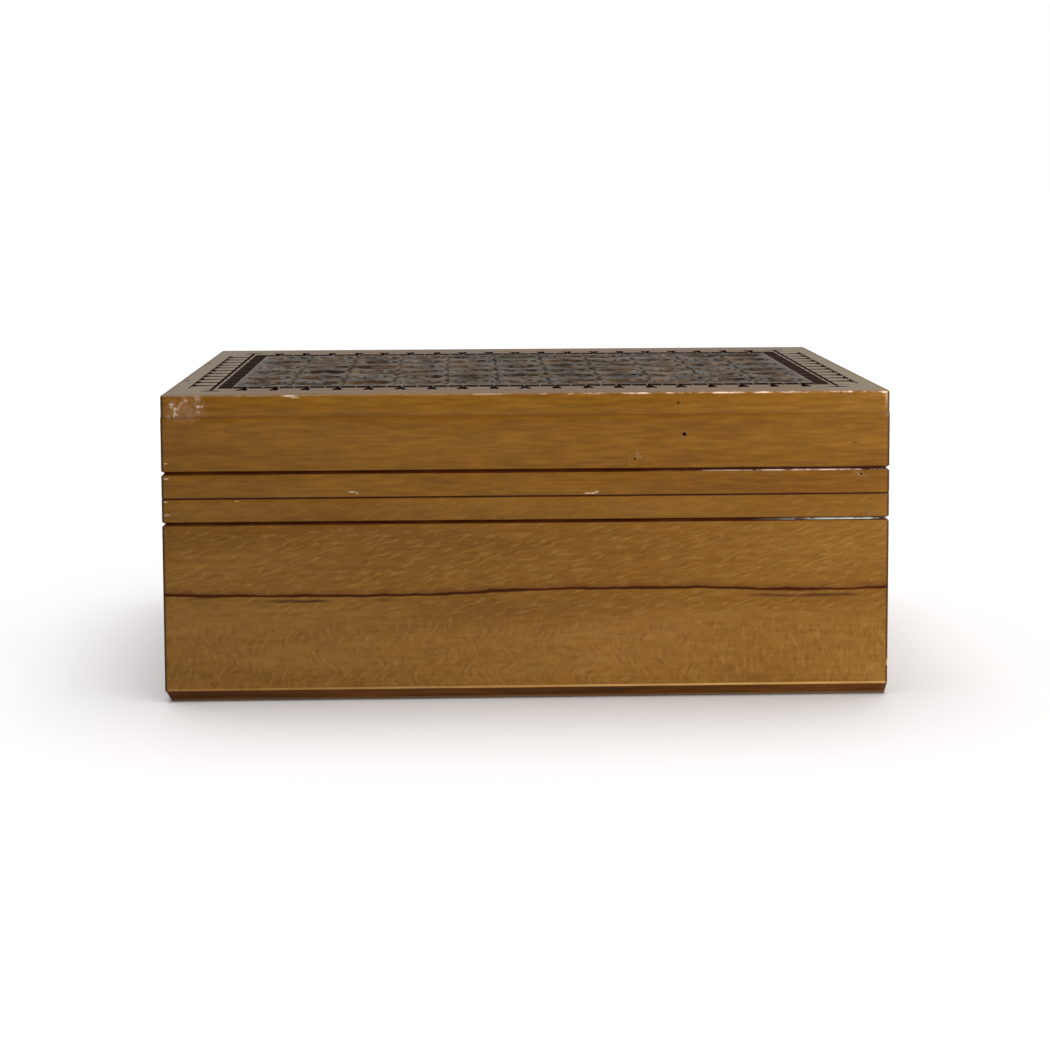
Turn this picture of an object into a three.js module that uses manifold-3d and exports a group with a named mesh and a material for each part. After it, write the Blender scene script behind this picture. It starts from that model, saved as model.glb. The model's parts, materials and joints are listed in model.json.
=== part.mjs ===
// A low wooden keepsake box with a lift-off lid. Its boards are mitred at the corners, two lines are cut
// round it beside the joint, and the top board is carved with a tabbed border round a field of rosettes.
// Millimetres, +Z up. The front faces -Y, the underside lies at Z = 0 and the box stands centred on X and Y.
import * as THREE from "three";
import { ConvexGeometry } from "three/addons/geometries/ConvexGeometry.js";
import { mergeVertices } from "three/addons/utils/BufferGeometryUtils.js";
import Module from "manifold-3d";

const wasm = await Module();
wasm.setup();

// The closed box
const boxWidth = 200;
const boxDepth = 142;
const boxHeight = 85;

// Boards
const wallThickness = 8;
const bottomThickness = 3.2;
const lidHeight = 28.4;
const topBoardThickness = 6;

// Tongue that stands up inside the base and keeps the lid in place
const tongueHeight = 2.5;
const tongueThickness = 3.5;
const lidClearance = 0.3;

// Lines cut round the box, one above and one below the joint of lid and base
const lineFromJoint = 7;
const lineWidth = 1.3;
const lineDepth = 0.9;

// Eased edges
const jointEase = 0.25;
const topEase = 0.6;
const footBevelWidth = 1.8;
const footBevelHeight = 2.2;

// Carved border, from the edges of the top board inwards
const sideMargin = 5.6;
const frontMargin = 11;
const tabLength = 6.1;
const tabWidth = 8.85;
const frameLineWidth = 1;
const frameLineDepth = 0.6;
const chipBandWidth = 4;
const chipLength = 3.7;
const chipSpacing = 0.7;
const chipDepth = 0.9;
const lineToBand = 0.7;
const bandToField = 0.6;

// Strokes that part the tabs, in pairs that spread outwards on both sides of a small spike
const strokeWidth = 0.9;
const strokeDepth = 0.5;
const strokeSpread = 1.25;
const strokeStart = 0.3;

// Thin cut along the outer end of each tab, kept clear of the strokes beside it
const tabEndWidth = 0.6;
const tabEndDepth = 0.3;
const tabEndClearance = 0.5;

// Carved field
const rosetteSpacing = 15.2;
const rosetteGap = 1.7;
const petalCount = 8;
const petalDepth = 1.15;
const ridgeDrop = 0.25;
const buttonDrop = 0.3;
const petalDeepest = 0.66;
const columnLineWidth = 1.1;
const columnLineDepth = 0.6;
const starWidth = 3.4;
const starDepth = 0.9;

// Share of a stroke's length that the tip at one end may take
const longestTip = 0.4;

// How far a cutting shape stands above the surface that it cuts
const overcut = 0.4;

// Share of the bottom board's thickness that the foot bevel may take
const tallestBevel = 0.8;

const rimThickness = lidHeight - topBoardThickness;
const jointHeight = boxHeight - lidHeight;
const rimTop = jointHeight + rimThickness;

const honeyWood = new THREE.MeshStandardMaterial({ color: 0x9a6a34, roughness: 0.35, metalness: 0 });
const lidWood = new THREE.MeshStandardMaterial({ color: 0x9c6c35, roughness: 0.35, metalness: 0 });
const carvedWood = new THREE.MeshStandardMaterial({ color: 0x5a3c26, roughness: 0.45, metalness: 0 });
const footWood = new THREE.MeshStandardMaterial({ color: 0x5c3515, roughness: 0.5, metalness: 0 });

// A geometry as a solid that can be cut
function toSolid(geometry) {
  const bare = geometry.index ? geometry.toNonIndexed() : geometry.clone();
  bare.deleteAttribute("normal");
  bare.deleteAttribute("uv");
  const merged = mergeVertices(bare, 1e-4);
  const source = {
    numProp: 3,
    vertProperties: merged.attributes.position.array,
    triVerts: new Uint32Array(merged.index.array),
  };
  return new wasm.Manifold(new wasm.Mesh(source));
}

// A cut solid as a geometry again
function toGeometry(solid) {
  const result = solid.getMesh();
  const geometry = new THREE.BufferGeometry();
  const points = new Float32Array(result.numVert * 3);
  for (let i = 0; i < result.numVert; i++) {
    for (let k = 0; k < 3; k++) {
      points[3 * i + k] = result.vertProperties[result.numProp * i + k];
    }
  }
  geometry.setAttribute("position", new THREE.BufferAttribute(points, 3));
  geometry.setIndex(new THREE.BufferAttribute(result.triVerts, 1));
  const flat = geometry.toNonIndexed();
  flat.computeVertexNormals();
  return flat;
}

// A closed surface through rings of equal point count, lowest first and each anticlockwise seen from above.
// A fan to a point of its own closes each end. Between rings, faces spread from the deeper of two corners.
function ringStack(lowPoint, rings, highPoint) {
  const corners = [];
  const count = rings[0].length;
  for (let j = 0; j < count; j++) {
    const next = (j + 1) % count;
    corners.push(lowPoint, rings[0][next], rings[0][j]);
    for (let k = 0; k + 1 < rings.length; k++) {
      const low = rings[k];
      const high = rings[k + 1];
      if (low[j].z <= low[next].z) {
        corners.push(low[j], low[next], high[next], low[j], high[next], high[j]);
      } else {
        corners.push(low[j], low[next], high[j], low[next], high[next], high[j]);
      }
    }
    const last = rings[rings.length - 1];
    corners.push(highPoint, last[j], last[next]);
  }
  return new THREE.BufferGeometry().setFromPoints(corners);
}

function rectangleRing(width, depth, height) {
  const x = width / 2;
  const y = depth / 2;
  const corners = [[-x, -y], [x, -y], [x, y], [-x, y]];
  return corners.map(([px, py]) => new THREE.Vector3(px, py, height));
}

// A board with square corners whose edges are drawn in by the given inset at each height
function flatBoard(layers) {
  const rings = layers.map(([inset, height]) => {
    return rectangleRing(boxWidth - 2 * inset, boxDepth - 2 * inset, height);
  });
  const low = new THREE.Vector3(0, 0, layers[0][1]);
  const high = new THREE.Vector3(0, 0, layers[layers.length - 1][1]);
  return ringStack(low, rings, high);
}

// A wall board. Its profile is listed as inset from the outer face and height, and the ends are mitred.
function mitredBoard(profile, outerLength) {
  const outline = profile.map(([inset, height]) => new THREE.Vector2(inset, height));
  const board = new THREE.ExtrudeGeometry(new THREE.Shape(outline), { depth: 1, bevelEnabled: false });
  const place = board.attributes.position;
  for (let i = 0; i < place.count; i++) {
    const inset = place.getX(i);
    const height = place.getY(i);
    const end = place.getZ(i) > 0.5 ? 1 : -1;
    place.setXYZ(i, end * (outerLength / 2 - inset), inset, height);
  }
  board.computeVertexNormals();
  return board;
}

// The three points of a line cut into an outer face, from the lower edge up
function cutLine(height) {
  return [[0, height - lineWidth / 2], [lineDepth, height], [0, height + lineWidth / 2]];
}

function baseProfile() {
  const tongueFace = wallThickness - tongueThickness;
  return [
    [0, bottomThickness],
    [wallThickness, bottomThickness],
    [wallThickness, jointHeight + tongueHeight],
    [tongueFace, jointHeight + tongueHeight],
    [tongueFace, jointHeight],
    [jointEase, jointHeight],
    [0, jointHeight - jointEase],
    ...cutLine(jointHeight - lineFromJoint).reverse(),
  ];
}

function rimProfile() {
  const rebateFace = wallThickness - tongueThickness - lidClearance;
  const rebateTop = jointHeight + tongueHeight + lidClearance;
  return [
    [jointEase, jointHeight],
    [rebateFace, jointHeight],
    [rebateFace, rebateTop],
    [wallThickness, rebateTop],
    [wallThickness, rimTop],
    [0, rimTop],
    ...cutLine(jointHeight + lineFromJoint).reverse(),
    [0, jointHeight + jointEase],
  ];
}

// A cut with a straight keel that slopes up to its outline on the surface
function keelCut(outline, keel, depth) {
  const points = keel.map(([x, y]) => new THREE.Vector3(x, y, boxHeight - depth));
  for (const [x, y] of outline) {
    points.push(new THREE.Vector3(x, y, boxHeight), new THREE.Vector3(x, y, boxHeight + overcut));
  }
  return toSolid(new ConvexGeometry(points));
}

// A four-sided pit of the given width and depth of outline
function chip(x, y, sizeX, sizeY, depth) {
  const corners = [[-1, -1], [1, -1], [1, 1], [-1, 1]];
  const outline = corners.map(([sx, sy]) => [x + (sx * sizeX) / 2, y + (sy * sizeY) / 2]);
  return keelCut(outline, [[x, y]], depth);
}

// A four-pointed pit whose points lie on the axes
function pointedChip(x, y, sizeX, sizeY, depth) {
  const points = [[1, 0], [0, 1], [-1, 0], [0, -1]];
  const outline = points.map(([sx, sy]) => [x + (sx * sizeX) / 2, y + (sy * sizeY) / 2]);
  return keelCut(outline, [[x, y]], depth);
}

// A V-shaped stroke between two points, with both ends drawn to a tip
function stroke([x0, y0], [x1, y1], width, depth) {
  const length = Math.hypot(x1 - x0, y1 - y0);
  const ux = (x1 - x0) / length;
  const uy = (y1 - y0) / length;
  const taper = Math.min(width, longestTip * length);
  const side = width / 2;
  const at = (along, across) => [x0 + ux * along - uy * across, y0 + uy * along + ux * across];
  const keel = [at(taper, 0), at(length - taper, 0)];
  const outline = [
    at(0, 0),
    at(taper, -side),
    at(taper, side),
    at(length - taper, -side),
    at(length - taper, side),
    at(length, 0),
  ];
  return keelCut(outline, keel, depth);
}

// Positions of equal spaces along a line centred on zero, nearest to the wanted spacing
function evenSteps(length, spacing) {
  const count = Math.max(1, Math.round(length / spacing));
  const step = length / count;
  return { count, step, centre: (i) => (i + 0.5 - count / 2) * step, edge: (i) => (i - count / 2) * step };
}

// One side of the border. Strokes and chips are laid out along X and pushed out along Y, then turned into place.
function borderSide(frameLength, frameReach, endRun) {
  const cuts = [];
  const lineInset = frameLineWidth / 2;
  cuts.push(stroke([-frameLength / 2 - endRun, -frameReach], [frameLength / 2 + endRun, -frameReach],
    frameLineWidth, frameLineDepth));

  const tabs = evenSteps(frameLength, tabWidth);
  for (let i = 1; i < tabs.count; i++) {
    for (const side of [-1, 1]) {
      const inner = [tabs.edge(i) + side * strokeStart, -frameReach - lineInset];
      const outer = [tabs.edge(i) + side * strokeSpread, -frameReach - lineInset - tabLength];
      cuts.push(stroke(inner, outer, strokeWidth, strokeDepth));
    }
  }
  const tabEndReach = frameReach + lineInset + tabLength;
  const tabEndLength = tabs.step - 2 * (strokeSpread + tabEndClearance);
  for (let i = 0; i < tabs.count; i++) {
    cuts.push(pointedChip(tabs.centre(i), -tabEndReach, tabEndLength, tabEndWidth, tabEndDepth));
  }

  const bandReach = frameReach - lineInset - lineToBand - chipBandWidth / 2;
  const bandLength = frameLength - 2 * (frameReach - bandReach) - chipBandWidth;
  const chips = evenSteps(bandLength, chipLength + chipSpacing);
  for (let i = 0; i < chips.count; i++) {
    cuts.push(chip(chips.centre(i), -bandReach, chips.step - chipSpacing, chipBandWidth, chipDepth));
  }
  cuts.push(chip(-bandLength / 2 - chipBandWidth / 2, -bandReach, chipBandWidth, chipBandWidth, chipDepth));
  return cuts;
}

// A round of hollowed petals about a small button. The ridges between the petals stay nearly flush.
function rosette(x, y, radius) {
  const turns = 2 * petalCount;
  const ring = (radiusAt, heightAt) => Array.from({ length: turns }, (_, j) => {
    const angle = (2 * Math.PI * j) / turns;
    const inPetal = j % 2 === 0;
    const r = radiusAt(inPetal);
    return new THREE.Vector3(x + r * Math.cos(angle), y + r * Math.sin(angle), heightAt(inPetal));
  });
  const drop = (inPetal) => (inPetal ? petalDepth : ridgeDrop);
  const middle = radius * petalDeepest;
  const rings = [
    ring(() => middle, (inPetal) => boxHeight - drop(inPetal)),
    ring(() => radius, () => boxHeight),
    ring(() => radius, () => boxHeight + overcut),
  ];
  const button = new THREE.Vector3(x, y, boxHeight - buttonDrop);
  const cap = new THREE.Vector3(x, y, boxHeight + overcut);
  return toSolid(ringStack(button, rings, cap));
}

function fieldCuts(fieldWidth, fieldDepth) {
  const cuts = [];
  const columns = evenSteps(fieldWidth, rosetteSpacing);
  const rows = evenSteps(fieldDepth, rosetteSpacing);
  const radius = (Math.min(columns.step, rows.step) - rosetteGap) / 2;
  for (let i = 0; i < columns.count; i++) {
    for (let j = 0; j < rows.count; j++) {
      cuts.push(rosette(columns.centre(i), rows.centre(j), radius));
    }
  }
  for (let i = 1; i < columns.count; i++) {
    const x = columns.edge(i);
    cuts.push(stroke([x, -fieldDepth / 2], [x, fieldDepth / 2], columnLineWidth, columnLineDepth));
    for (let j = 1; j < rows.count; j++) {
      cuts.push(pointedChip(x, rows.edge(j), starWidth, starWidth, starDepth));
    }
  }
  return cuts;
}

function carvedTopBoard() {
  const board = toSolid(flatBoard([[0, rimTop], [0, boxHeight - topEase], [topEase, boxHeight]]));
  const lineInset = frameLineWidth / 2;
  const frameReachX = boxWidth / 2 - sideMargin - tabLength - lineInset;
  const frameReachY = boxDepth / 2 - frontMargin - tabLength - lineInset;
  const lineToField = lineInset + lineToBand + chipBandWidth + bandToField;
  const along = borderSide(2 * frameReachX, frameReachY, tabLength);
  const across = borderSide(2 * frameReachY, frameReachX, tabLength);
  const cuts = [
    ...along,
    ...along.map((cut) => cut.rotate([0, 0, 180])),
    ...across.map((cut) => cut.rotate([0, 0, 90])),
    ...across.map((cut) => cut.rotate([0, 0, -90])),
    ...fieldCuts(2 * (frameReachX - lineToField), 2 * (frameReachY - lineToField)),
  ];
  return toGeometry(board.subtract(wasm.Manifold.union(cuts)));
}

const box = new THREE.Group();

function addMesh(name, geometry, material, parent = box) {
  const mesh = new THREE.Mesh(geometry, material);
  mesh.name = name;
  parent.add(mesh);
  return mesh;
}

// Four mitred boards round the box, the front one first and then anticlockwise seen from above
function addWalls(prefix, profile, material) {
  ["front", "right", "back", "left"].forEach((side, quarter) => {
    const facesY = quarter % 2 === 0;
    const turned = new THREE.Group();
    turned.rotation.z = (quarter * Math.PI) / 2;
    box.add(turned);
    const board = mitredBoard(profile, facesY ? boxWidth : boxDepth);
    const mesh = addMesh(prefix + side, board, material, turned);
    mesh.position.y = -(facesY ? boxDepth : boxWidth) / 2;
  });
}

const footBevel = Math.min(footBevelHeight, tallestBevel * bottomThickness);
addMesh("base_bottom", flatBoard([[footBevelWidth, 0], [0, footBevel], [0, bottomThickness]]), footWood);
addWalls("base_", baseProfile(), honeyWood);
addWalls("lid_", rimProfile(), lidWood);
addMesh("lid_top", carvedTopBoard(), carvedWood);

export default box;
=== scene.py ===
import json
import math

import bmesh
import bpy
from mathutils import Matrix, Vector, noise

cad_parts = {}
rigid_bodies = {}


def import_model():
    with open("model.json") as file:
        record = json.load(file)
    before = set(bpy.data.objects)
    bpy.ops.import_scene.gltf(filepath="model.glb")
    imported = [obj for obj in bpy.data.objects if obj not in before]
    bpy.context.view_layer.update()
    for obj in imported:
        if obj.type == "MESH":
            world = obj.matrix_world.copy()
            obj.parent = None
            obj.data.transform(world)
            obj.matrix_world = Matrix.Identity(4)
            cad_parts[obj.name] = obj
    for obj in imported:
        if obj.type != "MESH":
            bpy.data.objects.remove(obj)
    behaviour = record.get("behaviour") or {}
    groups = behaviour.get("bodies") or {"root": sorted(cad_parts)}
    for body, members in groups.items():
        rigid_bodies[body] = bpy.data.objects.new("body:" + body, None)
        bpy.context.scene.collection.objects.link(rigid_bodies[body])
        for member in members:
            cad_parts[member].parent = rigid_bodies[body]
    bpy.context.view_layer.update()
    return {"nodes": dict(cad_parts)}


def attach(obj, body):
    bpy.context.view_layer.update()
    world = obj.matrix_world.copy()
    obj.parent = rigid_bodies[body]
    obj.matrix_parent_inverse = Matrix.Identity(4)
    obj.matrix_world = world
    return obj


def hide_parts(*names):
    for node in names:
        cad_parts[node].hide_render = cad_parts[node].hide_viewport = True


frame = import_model()
print("frame loaded with", len(frame["nodes"]), "nodes")

mm = 0.001
scene = bpy.context.scene


# Node and mesh helpers

def feed(tree, socket, value):
    if isinstance(value, bpy.types.NodeSocket):
        tree.links.new(value, socket)
    else:
        socket.default_value = value


def addNode(tree, kind, inputs=None, **settings):
    made = tree.nodes.new(kind)
    for name, value in settings.items():
        setattr(made, name, value)
    for name, value in (inputs or {}).items():
        feed(tree, made.inputs[name], value)
    return made


def calc(tree, operation, first, second=0.0, third=None):
    made = addNode(tree, "ShaderNodeMath", operation=operation)
    feed(tree, made.inputs[0], first)
    feed(tree, made.inputs[1], second)
    if third is not None:
        feed(tree, made.inputs[2], third)
    return made.outputs[0]


def times(tree, first, *others):
    for other in others:
        first = calc(tree, "MULTIPLY", first, other)
    return first


def rampUp(tree, value, start, end, low=0.0, high=1.0):  # eased from low at start to high at end
    made = addNode(tree, "ShaderNodeMapRange", {
        "Value": value, "From Min": start, "From Max": end, "To Min": low, "To Max": high},
        interpolation_type="SMOOTHSTEP")
    return made.outputs[0]


def stripe(tree, value, centre, halfWidth, soft):  # 1 on a line, 0 away from it
    away = calc(tree, "ABSOLUTE", calc(tree, "SUBTRACT", value, centre))
    return rampUp(tree, away, halfWidth, halfWidth + soft, 1.0, 0.0)


def vectorCalc(tree, operation, first, second=None):
    made = addNode(tree, "ShaderNodeVectorMath", operation=operation)
    feed(tree, made.inputs[0], first)
    if second is not None:
        feed(tree, made.inputs[1], second)
    return made.outputs


def spot(tree, place, centre, size, soft=0.6):  # 1 inside an ellipse in along and height, 0 outside
    shifted = vectorCalc(tree, "SUBTRACT", place, (centre[0], 0, centre[1]))[0]
    scaled = vectorCalc(tree, "MULTIPLY", shifted, (1 / size[0], 0, 1 / size[1]))[0]
    return rampUp(tree, vectorCalc(tree, "LENGTH", scaled)["Value"], 1 - soft, 1.0, 1.0, 0.0)


def vector(tree, x=0.0, y=0.0, z=0.0):
    return addNode(tree, "ShaderNodeCombineXYZ", {"X": x, "Y": y, "Z": z}).outputs[0]


def cloud(tree, place, scale=None, shift=(0, 0, 0), size=1.0, detail=2.0, rough=0.5, warp=0.0):
    if scale is not None:
        place = vectorCalc(tree, "MULTIPLY", vectorCalc(tree, "ADD", place, shift)[0], scale)[0]
    made = addNode(tree, "ShaderNodeTexNoise", {
        "Scale": size, "Detail": detail, "Roughness": rough, "Distortion": warp, "Vector": place})
    return made.outputs["Fac"]


def blendColour(tree, factor, first, second, mode="MIX"):
    made = addNode(tree, "ShaderNodeMix", {0: factor, 6: first, 7: second}, data_type="RGBA", blend_type=mode)
    return made.outputs[2]


def gradient(tree, factor, stops):
    made = addNode(tree, "ShaderNodeValToRGB", {0: factor})
    elements = made.color_ramp.elements
    while len(elements) < len(stops):
        elements.new(0.5)
    for element, (position, colour) in zip(elements, stops):
        element.position = position
        element.color = (*colour, 1)
    return made.outputs[0]


def paint(state, colour, *masks):  # colour laid over the finish so far
    state["colour"] = blendColour(state["tree"], times(state["tree"], *masks), state["colour"], (*colour, 1))


def addTo(state, name, mask, amount):
    state[name] = calc(state["tree"], "MULTIPLY_ADD", mask, amount, state[name])


def loftMm(name, sections):  # a closed mesh through sections of equal point count
    sheet = bmesh.new()
    rows = [[sheet.verts.new(point * mm) for point in section] for section in sections]
    count = len(sections[0])
    for low, high in zip(rows, rows[1:]):
        for i in range(count):
            j = (i + 1) % count
            sheet.faces.new((low[i], low[j], high[j], high[i]))
    sheet.faces.new(rows[0][::-1])
    sheet.faces.new(rows[-1])
    bmesh.ops.recalc_face_normals(sheet, faces=sheet.faces)
    mesh = bpy.data.meshes.new(name)
    sheet.to_mesh(mesh)
    sheet.free()
    return mesh


def circle(count=12):
    return [(math.cos(2 * math.pi * k / count), math.sin(2 * math.pi * k / count)) for k in range(count)]


def addObject(name, mesh):
    made = bpy.data.objects.new(name, mesh)
    scene.collection.objects.link(made)
    return made


def smoothBelow(mesh, degrees):
    mesh.shade_smooth()
    mesh.set_sharp_from_angle(angle=math.radians(degrees))


def settle(piece, node):  # a finished piece stands for its CAD node
    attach(piece, "root")
    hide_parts(node)


# Wood under varnish

varnish = {
    "ior": 1.3,
    "roughness": 0.2, "roughnessSpread": (-0.04, 0.06),
    "rippleSize": 0.16,       # per mm
    "rippleHeight": 0.1 * mm,
    "rippleShare": 1.2, "poreShare": 0.25,
    "shine": 0.3,             # 0.5 is the full strength for this ior
}

figureForm = {  # heights and places along the front in mm; scales per mm
    "curlHeights": (15, 24), "slantHeights": (19, 26), "straightAlong": (25, 60), "straightShare": 0.1,
    "driftScale": (0.05, 0, 0.04), "driftReach": 9.0,
    "swayScale": (0.3, 0, 0.4), "swayShift": (30, 0, 0), "swaySlant": 3,
    "waves": 0.6,
    "patchScale": (0.22, 0.3, 0.35), "patchRange": (0.3, 0.65), "patchFloor": 0.4,
    "plainHeights": (46, 51), "plainShare": 0.45,
    "lightRange": (0.5, 0.64), "darkRange": (0.34, 0.46),
    "lowHeights": (14, 32),
}


def figure(tree, source, along, height, look):  # short slanted flecks above, wavy upright curls below
    form = figureForm
    low = rampUp(tree, height, *form["curlHeights"], 1.0, 0.0)
    drift = cloud(tree, source, form["driftScale"], detail=1)
    sway = cloud(tree, source, form["swayScale"], form["swayShift"], detail=1)
    wave = calc(tree, "MULTIPLY_ADD", drift, form["driftReach"], times(tree, height, form["waves"]))
    curlAlong = rampUp(tree, along, *form["straightAlong"], look["curl"], form["straightShare"])
    curl = times(tree, calc(tree, "SINE", wave), times(tree, low, curlAlong))
    bent = calc(tree, "MULTIPLY_ADD", sway, look["curl"], calc(tree, "ADD", along, curl))
    lean = calc(tree, "MULTIPLY_ADD", height, -look["slant"], along)
    lean = calc(tree, "MULTIPLY_ADD", sway, look["curl"] * form["swaySlant"], lean)
    shades = []
    for value, (xScale, zScale) in ((bent, look["figureScale"]), (lean, look["slantScale"])):
        place = vector(tree, times(tree, value, xScale), 0.0, times(tree, height, zScale))
        shades.append(cloud(tree, place, detail=3, rough=0.6))
    slanted = rampUp(tree, height, *form["slantHeights"])
    return addNode(tree, "ShaderNodeMix", {0: slanted, 2: shades[0], 3: shades[1]}).outputs[0]


def woodMaterial(name, look, marks, place=None, frontRamp=(0.5, 1.0)):  # the ramp ends the front
    material = bpy.data.materials.new(name)
    material.use_nodes = True
    tree = material.node_tree
    tree.nodes.clear()
    if place is None:
        source = addNode(tree, "ShaderNodeAttribute", attribute_name="grain").outputs["Vector"]
    else:
        source = place(tree)
    along, across, height = addNode(tree, "ShaderNodeSeparateXYZ", {0: source}).outputs
    form = figureForm

    broad = cloud(tree, source, look["broadScale"], detail=3, warp=0.4)
    colour = gradient(tree, broad, look["tones"])
    # painted reflection: low down the colour turns paler and bluer, standing in for the pale floor's
    # reflection
    notLow = rampUp(tree, height, *form["lowHeights"])
    tint = blendColour(tree, notLow, (*look["floorReflectionTint"], 1), (1, 1, 1, 1))
    colour = blendColour(tree, 1.0, colour, tint, "MULTIPLY")
    fine = cloud(tree, source, look["fineScale"], detail=4, rough=0.6)
    fineShade = rampUp(tree, fine, 0.3, 0.75, 1 - look["fineAmount"], 1 + look["fineAmount"])
    colour = blendColour(tree, 1.0, colour, fineShade, "MULTIPLY")

    flecks = figure(tree, source, along, height, look)
    patchy = cloud(tree, source, form["patchScale"])
    patches = times(tree, rampUp(tree, patchy, *form["patchRange"], form["patchFloor"], 1.0),
                    rampUp(tree, height, *form["plainHeights"], 1.0, form["plainShare"]))
    light = times(tree, rampUp(tree, flecks, *form["lightRange"]), patches)
    dark = times(tree, rampUp(tree, flecks, *form["darkRange"], 1.0, 0.0), patches)
    for mask, tone in ((light, "fleckColour"), (dark, "streakColour")):
        colour = blendColour(tree, times(tree, mask, look["fleckAmount"]), colour, (*look[tone], 1))
    pores = calc(tree, "ADD", times(tree, fine, 0.25), times(tree, light, 0.1))
    least, most = (varnish["roughness"] + change for change in varnish["roughnessSpread"])

    state = {"tree": tree, "place": source, "along": along, "across": across, "height": height,
             "colour": colour, "bump": pores, "roughness": rampUp(tree, fine, 0.2, 0.8, least, most),
             "specular": varnish["shine"], "front": rampUp(tree, across, *frontRamp, 1.0, 0.0)}
    for mark in marks:
        mark(state)

    ripple = cloud(tree, source, size=varnish["rippleSize"], rough=0.4)
    relief = times(tree, state["bump"], varnish["poreShare"])
    surface = calc(tree, "MULTIPLY_ADD", ripple, varnish["rippleShare"], relief)
    bump = addNode(tree, "ShaderNodeBump", {
        "Strength": 1.0, "Distance": varnish["rippleHeight"], "Height": surface})
    shader = addNode(tree, "ShaderNodeBsdfPrincipled", {
        "Base Color": state["colour"], "Roughness": state["roughness"], "Normal": bump.outputs[0],
        "IOR": varnish["ior"], "Specular IOR Level": state["specular"]})
    output = addNode(tree, "ShaderNodeOutputMaterial")
    tree.links.new(shader.outputs[0], output.inputs["Surface"])
    return material


# Marks that a finish may carry. Each changes the colour, bump, roughness or shine so far.

lines = {  # heights and widths in mm
    "upper": 63.6, "lower": 49.6, "joint": 56.6, "halfWidth": 0.7, "soft": 0.12,
    "dirt": (0.02, 0.0035, 0.001), "flank": (0.05, 0.018, 0.005),
    "wanderScale": (0.06, 0, 0.0), "insideRamp": (0.1, 0.35),
    "flankRamp": (-0.5, -0.1, 0.7, 0.0), "flankAlong": (-60, 20, 1.0, 0.3),
    "shineAlong": (20, 95, -0.25, 0.4), "jointHalfWidth": 0.2, "jointSoft": 0.18, "jointAmount": 0.9,
    "glintScale": (0.2, 0, 0.5), "glintHalf": 0.2, "glintSoft": 0.15, "glintAmount": 0.9,
    "glints": [  # painted glints, pale colour standing in for reflections in the lines: height, where along it starts and is full, front only, colour
        (63.1, 30, 80, True, (0.42, 0.3, 0.23)), (49.62, 60, 90, False, (0.27, 0.28, 0.25))],
}


def cutLineDirtAndPaintedGlints(state):  # dark stain in the two V lines and in the joint of lid and base, and painted glints in the lines towards the right
    tree = state["tree"]
    wander = rampUp(tree, cloud(tree, state["place"], lines["wanderScale"]), 0.2, 0.6, 0.75, 1.0)
    inside = rampUp(tree, state["across"], *lines["insideRamp"])
    for height in (lines["upper"], lines["lower"]):
        line = stripe(tree, state["height"], height, lines["halfWidth"], lines["soft"])
        mask = times(tree, line, inside, wander)
        paint(state, lines["dirt"], mask)
        flank = rampUp(tree, calc(tree, "SUBTRACT", state["height"], height), *lines["flankRamp"])
        paint(state, lines["flank"], mask, flank, rampUp(tree, state["along"], *lines["flankAlong"]))
        shine = rampUp(tree, state["along"], *lines["shineAlong"])
        addTo(state, "specular", mask, shine)
    broken = rampUp(tree, cloud(tree, state["place"], lines["glintScale"], detail=4, rough=0.7), 0.36, 0.58)
    # painted highlights: pale colour in the lines stands in for reflections of the lights
    for height, start, full, frontOnly, colour in lines["glints"]:
        mask = stripe(tree, state["height"], height, lines["glintHalf"], lines["glintSoft"])
        reach = rampUp(tree, state["along"], start, full, 0.0, lines["glintAmount"])
        paint(state, colour, mask, inside, broken, reach, state["front"] if frontOnly else 1.0)
    gap = stripe(tree, state["height"], lines["joint"], lines["jointHalfWidth"], lines["jointSoft"])
    paint(state, lines["dirt"], gap, lines["jointAmount"])


seam = {"height": 79.0, "halfWidth": 0.1, "soft": 0.7, "amount": 0.35, "colour": (0.06, 0.02, 0.003)}


def boardSeam(state):  # faint joint of the top board and the rim below it
    mask = stripe(state["tree"], state["height"], seam["height"], seam["halfWidth"], seam["soft"])
    paint(state, seam["colour"], mask, seam["amount"])


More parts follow.
